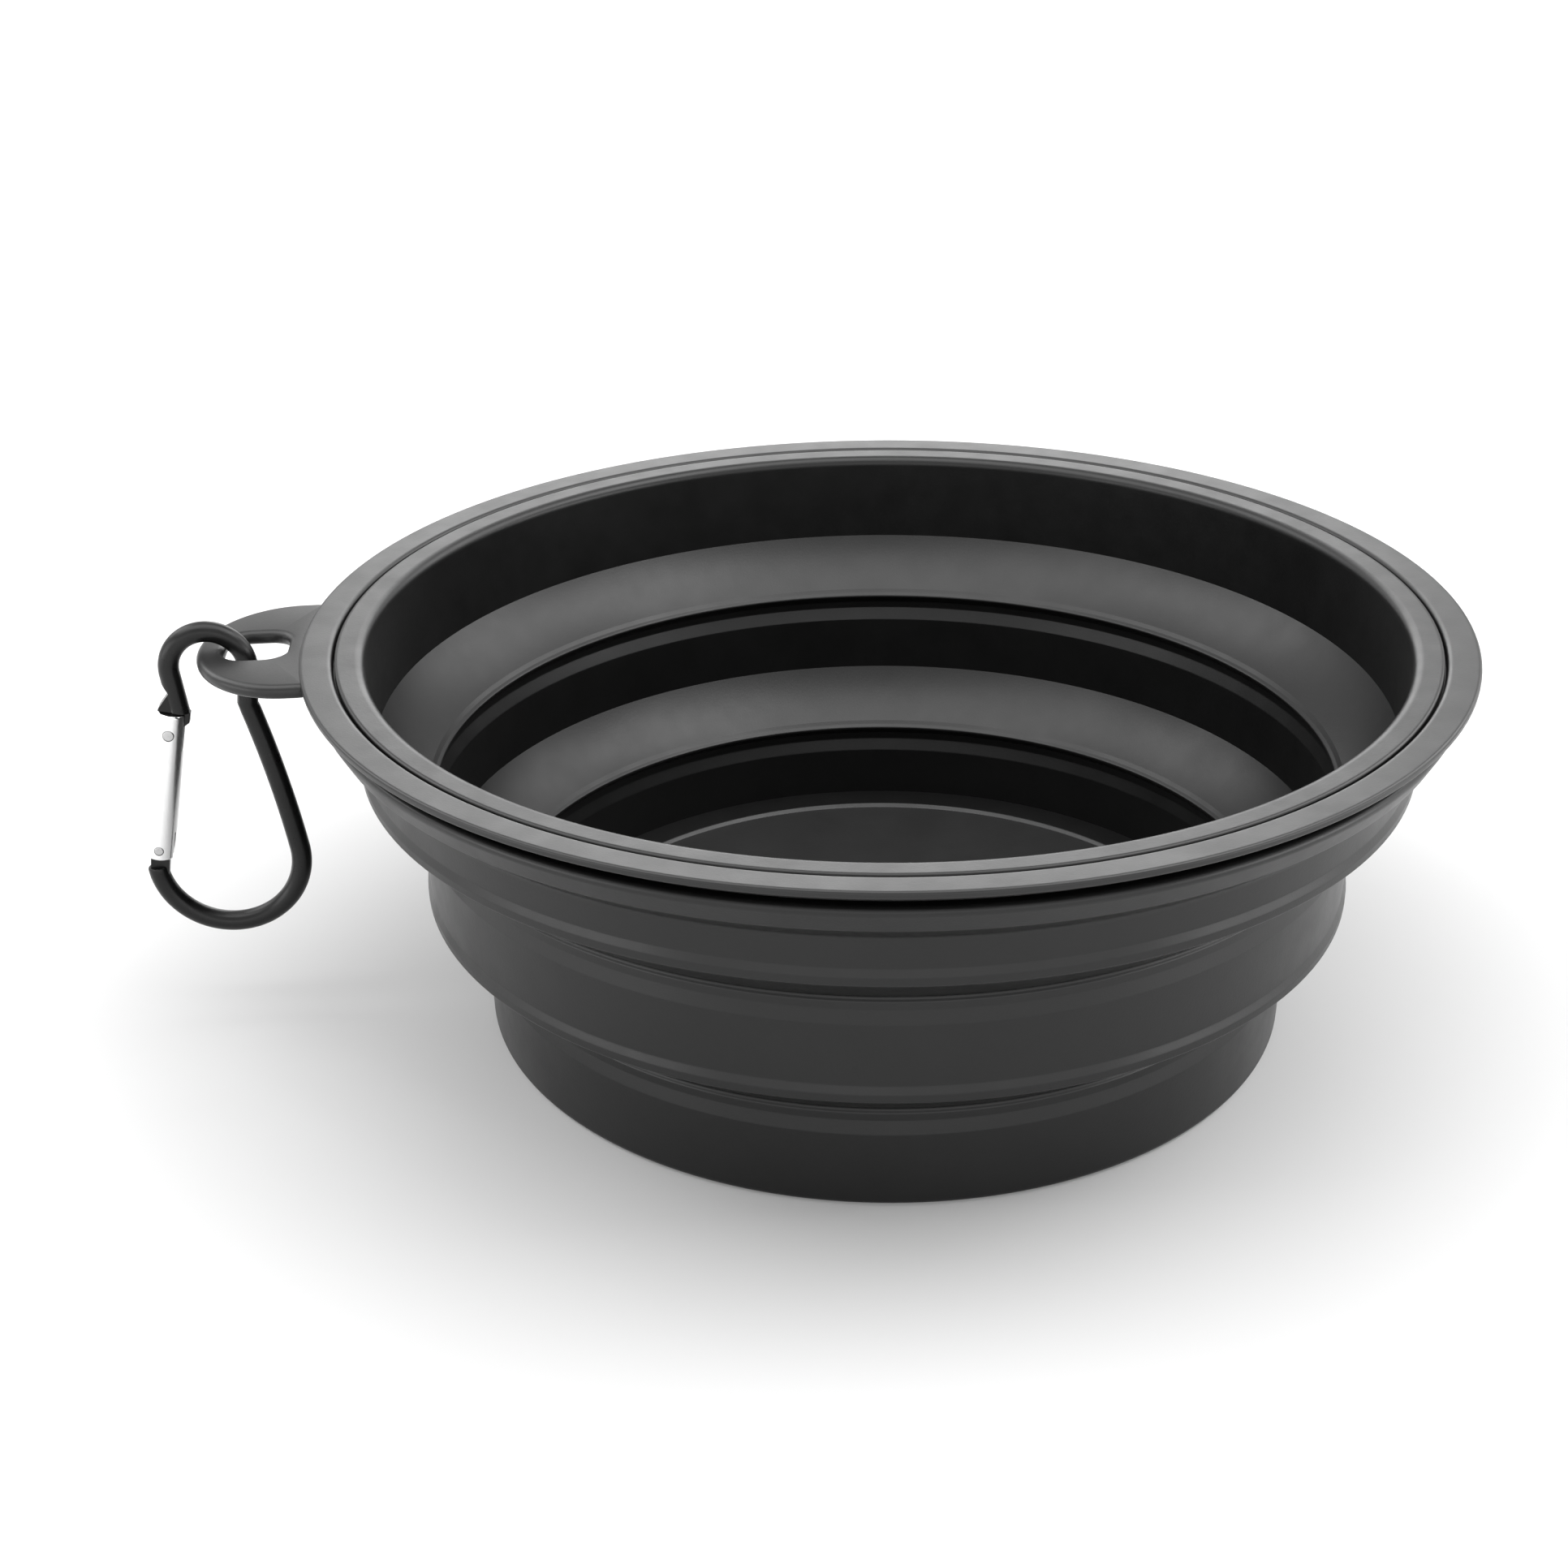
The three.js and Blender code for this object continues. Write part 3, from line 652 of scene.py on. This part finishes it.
def fold_piece(name, foot, lip, node):
    """Thin cone between two walls, in short rows."""
    end = stub(lip)
    inside = []
    for i in range(FOLD_ROWS + 1):
        share = i / FOLD_ROWS
        sag = 4 * FOLD_SAG * share * (1 - share)
        inside.append(along(along(foot, down_fold, math.dist(foot, end) * share), through_fold, sag))
    outline = inside + [through(point) for point in reversed(inside)]
    piece = new_piece(name, lathe(outline), rubber)
    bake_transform(piece)
    stands_for(node)


wall_piece("soft_upper_wall", upper_section(), "upper", "upper_wall")
wall_piece("soft_middle_wall", toe(middle_foot) + lip_section(middle_lip), "middle", "middle_wall")
wall_piece("soft_base_cup", base_section(), "base", "base_cup")
fold_piece("soft_upper_fold", upper_foot, middle_lip, "upper_fold")
fold_piece("soft_lower_fold", middle_foot, base_lip, "lower_fold")


# Rim ring with its eyelet tab

tab_top = crown - TAB_SINK
tab_bottom = tab_top - TAB_THICKNESS
tab_end = RIM_RADIUS + TAB_REACH


def ring_section():
    """Corners of the ring: its tongue, the undercut below its thin edge, its dished top and the seam."""
    inner = seam_radius + CLEARANCE / 2
    return [
        (tongue_radius, ring_bottom, SMALL_ROUND),
        (RIM_RADIUS - UNDERCUT_INSET, ring_bottom, SMALL_ROUND),
        (RIM_RADIUS, edge_top - RING_EDGE_THICKNESS, RING_EDGE_ROUND),
        (RIM_RADIUS, edge_top, RING_EDGE_ROUND),
        (inner, rim_top(inner), SEAM_ROUND),
        (inner, tongue_top, SMALL_ROUND),
        (tongue_radius, tongue_top, SMALL_ROUND),
    ]


def tab_outline():
    """The tab's outside seen from above: half an ellipse on a short straight root."""
    root = RIM_RADIUS - TAB_ROOT
    side = RIM_RADIUS + TAB_STRAIGHT
    corner = fillet((-root, 0), (-root, TAB_HALF_WIDTH), (-side, TAB_HALF_WIDTH), TAB_ROOT_ROUND)
    turns = [math.pi / 2 + math.pi * i / ELLIPSE_STEPS for i in range(ELLIPSE_STEPS + 1)]
    end = [(-side + (tab_end - side) * math.cos(a), TAB_HALF_WIDTH * math.sin(a)) for a in turns]
    return [(x, -y) for x, y in reversed(corner)] + corner + end


def eyelet_outline():
    near = -RIM_RADIUS - EYELET_INSET
    far = BAR_WIDTH - tab_end
    half = EYELET_WIDTH / 2
    corners = [(near, -half), (near, half), (far, half), (far, -half)]
    return rounded([(x, y, EYELET_CORNER) for x, y in corners])


def ray_end(outline, centre, angle):
    """Where a ray from the centre meets a closed outline."""
    way = (math.cos(angle), math.sin(angle))
    found = 0.0
    for a, b in zip(outline, outline[1:] + outline[:1]):
        ax, ay = a[0] - centre[0], a[1] - centre[1]
        ex, ey = b[0] - a[0], b[1] - a[1]
        across = way[0] * ey - way[1] * ex
        if abs(across) < PARALLEL:
            continue
        distance = (ax * ey - ay * ex) / across
        share = (ax * way[1] - ay * way[0]) / across
        if -ON_EDGE <= share <= 1 + ON_EDGE:
            found = max(found, distance)
    return along(centre, way, found)


def tab_body():
    """The plate round the eyelet: loops of points over its rounded outside and down the eyelet's wall."""
    centre = (-(RIM_RADIUS + EYELET_INSET + tab_end - BAR_WIDTH) / 2, 0.0)
    angles = [2 * math.pi * (i + 0.5) / TAB_STEPS for i in range(TAB_STEPS)]
    outside = [ray_end(tab_outline(), centre, angle) for angle in angles]
    eyelet = [ray_end(eyelet_outline(), centre, angle) for angle in angles]
    turns = [math.pi / 2 * i / TAB_EDGE_STEPS for i in range(TAB_EDGE_STEPS + 1)]
    edge = [(TAB_ROUND * (1 - math.cos(a)), TAB_ROUND * (1 - math.sin(a))) for a in turns]
    profile = [(inset, tab_bottom + rise) for inset, rise in reversed(edge)]
    profile += [(inset, tab_top - drop) for inset, drop in edge]
    loops = [[(*point, z) for point in drawn_in(outside, inset)] for inset, z in profile]
    loops += [[(*point, z) for point in drawn_in(eyelet, -inset)] for inset, z in reversed(profile)]
    verts = [point for loop in loops for point in loop]
    return verts, loop_faces(len(loops), TAB_STEPS, close=True)


ring = new_piece("rim_ring_with_tab", lathe(rounded(ring_section())), plastic)
combine(ring, "UNION", [tab_body()])
place(ring, "upper", "rim_ring")


# Carabiner, in its own plane with the hook's centre as origin

hook_clear = HOOK_RADIUS - WIRE_RADIUS - CLEARANCE - TAB_ROUND
edge_reach = BAR_WIDTH / 2 + HOOK_OFFSET - TAB_ROUND
hook_x = BAR_WIDTH / 2 - HOOK_OFFSET - tab_end
hook_z = tab_top - TAB_ROUND - math.sqrt(hook_clear**2 - edge_reach**2)
loop_centre = (-LOOP_SHIFT, -HOOK_TO_LOOP)

hook_end = around((0, 0), HOOK_RADIUS, math.pi + NOSE_TURN)
nose_way = (math.sin(NOSE_TURN), -math.cos(NOSE_TURN))
nose = along(hook_end, nose_way, NOSE_LENGTH)
spine_top = (HOOK_RADIUS - NECK_LEAN, -NECK_LENGTH)
spine_bearing = math.atan2(spine_top[1] - loop_centre[1], spine_top[0] - loop_centre[0])
spine_angle = spine_bearing - math.acos(LOOP_RADIUS / math.dist(spine_top, loop_centre)) - SPINE_BOW
spine_end = around(loop_centre, LOOP_RADIUS, spine_angle)
spine_chord = (spine_top[0] - spine_end[0], spine_top[1] - spine_end[1])
spine_face = (math.cos(spine_angle), math.sin(spine_angle))
spine_rise = spine_chord[0] * spine_face[0] + spine_chord[1] * spine_face[1]
spine_radius = -math.hypot(*spine_chord) ** 2 / (2 * spine_rise)
spine_centre = along(spine_end, spine_face, -spine_radius)

hinge_angle = -math.pi - HINGE_RISE
hinge = around(loop_centre, LOOP_RADIUS - HINGE_INSET, hinge_angle)
tail_sweep = math.hypot(GATE_RADIUS, GATE_TAIL)
shoulder_angle = hinge_angle + math.asin((tail_sweep + 3 * CLEARANCE) / LOOP_RADIUS)
gate_end = (nose[0] - GATE_OFFSET, nose[1])
gate_length = math.dist(hinge, gate_end)
gate_way = unit(hinge, gate_end)
gate_side = (gate_way[1], -gate_way[0])
latch_height = gate_length - LATCH_PIN_DEPTH
latch_jaw = LATCH_PIN_RADIUS + CLEARANCE
slot_width = BLADE_THICKNESS + 2 * CLEARANCE


def in_frame(x, y, z):
    """A point of the carabiner's own frame in the model's frame."""
    return (hook_x + x, y, hook_z + z)


def on_gate(x, y, s):
    """A point of the gate's frame in the model's frame: x inwards, s up the bar from the hinge."""
    spot = along(along(hinge, gate_side, x), gate_way, s)
    return in_frame(spot[0], y, spot[1])


def gate_spot(point):
    """A point of the carabiner's plane in the gate's frame, as (x, s)."""
    dx, dz = point[0] - hinge[0], point[1] - hinge[1]
    return (dx * gate_side[0] + dz * gate_side[1], dx * gate_way[0] + dz * gate_way[1])


def wire_body():
    """Round wire from the nose over the hook, down the spine and round the loop to the hinge."""
    spine_start = math.atan2(spine_top[1] - spine_centre[1], spine_top[0] - spine_centre[0])
    end_turn = WIRE_END_ROUND / LOOP_RADIUS
    path = [along(nose, nose_way, NOSE_SPARE), nose]
    path += arc_points((0, 0), HOOK_RADIUS, math.pi + NOSE_TURN, 0.0, HOOK_STEPS)
    path += arc_points(spine_centre, spine_radius, spine_start, spine_angle, SPINE_STEPS)
    loop_end = shoulder_angle + end_turn
    path += arc_points(loop_centre, LOOP_RADIUS, spine_angle, loop_end, LOOP_STEPS)[1:]
    radii = [WIRE_RADIUS] * len(path)
    for i in range(1, WIRE_END_STEPS + 1):
        turn = math.pi / 2 * i / WIRE_END_STEPS
        path.append(around(loop_centre, LOOP_RADIUS, shoulder_angle + end_turn * (1 - math.sin(turn))))
        radii.append(WIRE_RADIUS - WIRE_END_ROUND * (1 - math.cos(turn)))
    rings = []
    for i, (point, radius) in enumerate(zip(path, radii)):
        way = unit(path[max(0, i - 1)], path[min(len(path) - 1, i + 1)])
        ring_points = []
        for k in range(WIRE_SIDES):
            angle = 2 * math.pi * k / WIRE_SIDES
            spot = along(point, (-way[1], way[0]), radius * math.cos(angle))
            ring_points.append(in_frame(spot[0], radius * math.sin(angle), spot[1]))
        rings.append(ring_points)
    return tube(rings)


def gate_plate(outline, thickness, chamfer=0.0):
    """Plate of an anticlockwise (x, s) outline in the gate's frame, centred on the carabiner's plane."""
    half = thickness / 2
    levels = [(-half, chamfer), (chamfer - half, 0.0), (half - chamfer, 0.0), (half, chamfer)]
    if not chamfer:
        levels = [(-half, 0.0), (half, 0.0)]
    return tube([[on_gate(x, y, s) for x, s in drawn_in(outline, inset)] for y, inset in levels])


def gate_room():
    """Room for the gate, below the level at which the wire's nose ends."""
    room = 2 * (WIRE_RADIUS + GATE_OFFSET)
    low, high = gate_length - 2 * room, gate_length
    return gate_plate([(-room, low), (room, low), (room, high), (-room, high)], 2 * room)


def notch_room():
    """Room for the notch above the nose's barb, on the wire's outer side."""
    far = -NOSE_BARB - 2 * WIRE_RADIUS
    low = gate_length + CLEARANCE
    high = gate_length + NOTCH_HEIGHT + NOTCH_RISE
    outline = [
        (far, low),
        (-NOSE_BARB, low),
        (-NOTCH_INSET, gate_length + NOTCH_HEIGHT),
        (-NOTCH_INSET - NOTCH_RISE, high),
        (far, high),
    ]
    return gate_plate(outline, 5 * WIRE_RADIUS)


def hinge_blade():
    """Flattened end of the wire that stands in the gate's lower slot."""
    half = HINGE_BLADE_HALF_WIDTH
    root = shoulder_angle + WIRE_RADIUS / LOOP_RADIUS
    outer = gate_spot(around(loop_centre, LOOP_RADIUS + half, root))
    inner = gate_spot(around(loop_centre, LOOP_RADIUS - half, root))
    top = HINGE_BLADE_HEIGHT
    corners = [
        (-half, top, SMALL_ROUND),
        (-half, 0, half),
        (*outer, 0),
        (*inner, 0),
        (half, 0, half),
        (half, top, SMALL_ROUND),
    ]
    return gate_plate(rounded(corners), BLADE_THICKNESS)


def nose_blade():
    """Flattened nose in the gate's upper slot: a chin inside, and a hook that backs the latch pin."""
    outer = -latch_jaw - LATCH_BACK
    jaw_top = latch_height + latch_jaw
    foot_top = latch_height - latch_jaw
    foot_bottom = foot_top - LATCH_FOOT_HEIGHT
    root = gate_length + WIRE_RADIUS / 2
    outline = [
        (0, root),
        (outer, gate_length + CLEARANCE / 2),
        (outer, foot_bottom),
        (LATCH_FOOT_REACH, foot_bottom),
        (LATCH_FOOT_REACH, foot_top),
        (-latch_jaw, foot_top),
        (-latch_jaw, jaw_top),
        (NOSE_CHIN - CHIN_CHAMFER, jaw_top),
        (NOSE_CHIN, jaw_top + CHIN_CHAMFER),
        (NOSE_CHIN, root - CHIN_CHAMFER),
        (NOSE_CHIN - CHIN_CHAMFER, root),
    ]
    return gate_plate(outline, BLADE_THICKNESS, BLADE_CHAMFER)


def nose_head():
    """Barbed head above the gate, from the wire's end out towards the gate's outer side."""
    outline = [
        (-NOSE_BARB, gate_length),
        (GATE_OFFSET, gate_length),
        (GATE_OFFSET, gate_length + NOTCH_HEIGHT / 2),
        (-NOTCH_INSET, gate_length + NOTCH_HEIGHT),
        (-NOSE_BARB, gate_length + CLEARANCE),
    ]
    return gate_plate(outline, NOSE_HEAD_THICKNESS)


def turned(outline, sides, spot):
    """A closed (radius, height) outline turned about an axis, each point then placed."""
    verts, faces = lathe(outline, sides)
    return [spot(*v) for v in verts], faces


def cross_rod(radius, half, height, edge_round=0.0):
    """Rod across the gate's bar, at a height on its axis."""
    corners = [(0, -half, 0), (radius, -half, edge_round), (radius, half, edge_round), (0, half, 0)]
    return turned(rounded(corners), PIN_SIDES, lambda x, y, z: on_gate(x, z, height + y))


def rod(radius, low, high, edge_round):
    """Rod along the gate's axis."""
    corners = [(0, low, 0), (radius, low, edge_round), (radius, high, edge_round), (0, high, 0)]
    return turned(rounded(corners), ROD_SIDES, on_gate)


def gate_slot(low, high):
    width = 2 * GATE_RADIUS
    return gate_plate([(-width, low), (width, low), (width, high), (-width, high)], slot_width)


wire = new_piece("carabiner_wire", wire_body(), black_metal)
combine(wire, "DIFFERENCE", [gate_room(), notch_room()])
combine(wire, "UNION", [hinge_blade(), nose_head(), nose_blade()])
combine(wire, "DIFFERENCE", [cross_rod(HINGE_PIN_RADIUS + PIN_HOLE_GAP, GATE_RADIUS, 0.0)])
place(wire, "carabiner", "carabiner_frame")

gate_top = gate_length - CLEARANCE
plunger_bottom = HINGE_BLADE_HEIGHT + CLEARANCE
plunger_top = plunger_bottom + PLUNGER_LENGTH
spring_bottom = plunger_top + CLEARANCE
bore_top = spring_bottom + SPRING_LENGTH + CLEARANCE

gate = new_piece("carabiner_gate_bar", rod(GATE_RADIUS, -GATE_TAIL, gate_top, GATE_EDGE_ROUND), silver)
combine(
    gate,
    "DIFFERENCE",
    [
        rod(PLUNGER_RADIUS + CLEARANCE, 0.0, bore_top, 0.0),
        gate_slot(-2 * GATE_RADIUS, HINGE_SLOT_HEIGHT),
        gate_slot(gate_top - LATCH_SLOT_DEPTH, gate_top + GATE_RADIUS),
        cross_rod(HINGE_PIN_RADIUS + PIN_HOLE_GAP, 2 * GATE_RADIUS, 0.0),
        cross_rod(LATCH_PIN_RADIUS + PIN_HOLE_GAP, 2 * GATE_RADIUS, latch_height),
    ],
)
place(gate, "gate", "carabiner_gate")


def pin_piece(name, radius, height, body, node):
    """Pin across the gate's bar, flush with its sides."""
    piece = new_piece(name, cross_rod(radius, GATE_RADIUS, height, PIN_EDGE_ROUND), steel)
    place(piece, body, node)


pin_piece("hinge_rivet", HINGE_PIN_RADIUS, 0.0, "carabiner", "gate_hinge_pin")
pin_piece("latch_rivet", LATCH_PIN_RADIUS, latch_height, "gate", "gate_latch_pin")

plunger = new_piece("plunger_rod", rod(PLUNGER_RADIUS, plunger_bottom, plunger_top, SMALL_ROUND), steel)
place(plunger, "gate", "gate_plunger")


def spring_body():
    """Coil spring in the gate's bore, as one unbroken helix."""
    steps = SPRING_CURLS * SPRING_CURL_STEPS
    rise = (SPRING_LENGTH - 2 * SPRING_WIRE_RADIUS) / steps
    rings = []
    for i in range(steps + 1):
        angle = 2 * math.pi * i / SPRING_CURL_STEPS
        height = spring_bottom + SPRING_WIRE_RADIUS + rise * i
        turns = [2 * math.pi * k / SPRING_SIDES for k in range(SPRING_SIDES)]
        section = [around((SPRING_RADIUS, height), SPRING_WIRE_RADIUS, turn) for turn in turns]
        rings.append([on_gate(r * math.cos(angle), r * math.sin(angle), s) for r, s in section])
    return tube(rings)


spring = new_piece("spring_coil", spring_body(), steel)
place(spring, "gate", "gate_spring")


# Studio


def softbox(name, at, aim, size, power):
    """Rectangular lamp that faces a point."""
    light = bpy.data.lights.new(name, "AREA")
    light.shape = "RECTANGLE"
    light.size, light.size_y = size
    light.energy = power
    lamp = bpy.data.objects.new(name, light)
    bpy.context.scene.collection.objects.link(lamp)
    lamp.location = at
    way = Vector(aim) - lamp.location
    lamp.rotation_euler = way.to_track_quat("-Z", "Y").to_euler()


def seen_or_lit(tree, seen, lit):
    """One strength for rays from the eye, also by way of mirrors and glass, and another for the rest."""
    rays = tree.nodes.new("ShaderNodeLightPath")
    total = rays.outputs["Is Camera Ray"]
    for kind in ("Is Glossy Ray", "Is Transmission Ray"):
        either = tree.nodes.new("ShaderNodeMath")
        either.operation = "MAXIMUM"
        tree.links.new(total, either.inputs[0])
        tree.links.new(rays.outputs[kind], either.inputs[1])
        total = either.outputs["Value"]
    choose = tree.nodes.new("ShaderNodeMapRange")
    choose.inputs["To Min"].default_value = lit
    if isinstance(seen, float):
        choose.inputs["To Max"].default_value = seen
    else:
        tree.links.new(seen, choose.inputs["To Max"])
    tree.links.new(total, choose.inputs["Value"])
    return choose.outputs["Result"]


def rising(tree, value, start, end, low, high):
    """A number that rises smoothly from low to high as a value goes from start to end."""
    node = tree.nodes.new("ShaderNodeMapRange")
    node.interpolation_type = "SMOOTHSTEP"
    for name, number in zip(("From Min", "From Max", "To Min", "To Max"), (start, end, low, high)):
        node.inputs[name].default_value = number
    tree.links.new(value, node.inputs["Value"])
    return node.outputs["Result"]


def floor_glow_and_painted_shadow(tree, spot):
    """Makes up for the light that is missing far from the lamps, and glows less near the bowl: a painted
    shadow round its base, deeper than its own, that also darkens the floor seen in the bowl's walls.
    """
    reach = tree.nodes.new("ShaderNodeVectorMath")
    reach.operation = "LENGTH"
    tree.links.new(spot, reach.inputs[0])
    distance = reach.outputs["Value"]
    near = rising(tree, distance, PAINTED_SHADOW_START, PAINTED_SHADOW_END, PAINTED_SHADOW_GLOW, GLOW_AROUND)
    far = rising(tree, distance, FAR_START, FAR_END, 0.0, GLOW_FAR - GLOW_AROUND)
    both = tree.nodes.new("ShaderNodeMath")
    both.operation = "ADD"
    tree.links.new(near, both.inputs[0])
    tree.links.new(far, both.inputs[1])
    return both.outputs["Value"]


def studio_floor():
    mesh = bpy.data.meshes.new("floor")
    signs = [(-1, -1), (1, -1), (1, 1), (-1, 1)]
    corners = [(x * FLOOR_REACH, y * FLOOR_REACH, -FLOOR_DROP) for x, y in signs]
    mesh.from_pydata(corners, [], [(0, 1, 2, 3)])
    material, tree, shader, spot = node_material("floor_white", FLOOR_ROUGHNESS)
    shader.inputs["Base Color"].default_value = (FLOOR_GREY, FLOOR_GREY, FLOOR_GREY, 1.0)
    shader.inputs["Specular IOR Level"].default_value = 0.0
    shader.inputs["Emission Color"].default_value = WHITE
    glow = seen_or_lit(tree, floor_glow_and_painted_shadow(tree, spot), 0.0)
    tree.links.new(glow, shader.inputs["Emission Strength"])
    mesh.materials.append(material)
    floor = bpy.data.objects.new("floor", mesh)
    bpy.context.scene.collection.objects.link(floor)


def studio_surround():
    world = bpy.data.worlds.new("studio")
    bpy.context.scene.world = world
    world.use_nodes = True
    tree = world.node_tree
    sky = tree.nodes["Background"]
    sky.inputs["Color"].default_value = WHITE
    strength = seen_or_lit(tree, SURROUND_WHITE, SURROUND_FILL)
    tree.links.new(strength, sky.inputs["Strength"])


def photo_camera():
    data = bpy.data.cameras.new("photo_view")
    data.lens = LENS
    data.sensor_width = SENSOR
    data.clip_start = CLIP_START
    camera = bpy.data.objects.new("photo_view", data)
    bpy.context.scene.collection.objects.link(camera)
    camera.location = Vector(CAMERA_AT) * MM
    upright = Vector(CAMERA_WAY).to_track_quat("-Z", "Y")
    camera.rotation_euler = (upright @ Quaternion((0, 0, 1), CAMERA_ROLL)).to_euler()
    bpy.context.scene.camera = camera


softbox("overhead", at=(0.0, -0.08, 0.95), aim=AIM_HIGH, size=(2.3, 0.7), power=14.5)
softbox("key", at=(0.6, -0.12, 0.92), aim=(0.6, 0.0, 0.05), size=(0.55, 0.6), power=2.0)
softbox("back", at=(0.135, 1.2, 0.48), aim=(0.135, 0.0, 0.05), size=(0.7, 0.6), power=3.5)
softbox("left_back", at=(-0.85, 0.5, 0.75), aim=AIM_HIGH, size=(0.6, 0.7), power=3.7)
softbox("right_back", at=(0.95, 0.45, 0.65), aim=AIM_HIGH, size=(0.7, 0.7), power=4.5)
softbox("front", at=(0.0, -1.2, 0.3), aim=AIM_LOW, size=(2.0, 0.45), power=2.8)
softbox("right", at=(1.1, -0.4, 0.22), aim=AIM_LOW, size=(0.9, 0.4), power=4.2)
softbox("left", at=(-1.1, -0.4, 0.22), aim=AIM_LOW, size=(0.9, 0.4), power=3.0)
studio_floor()
studio_surround()
photo_camera()
bpy.context.scene.view_settings.view_transform = "Standard"
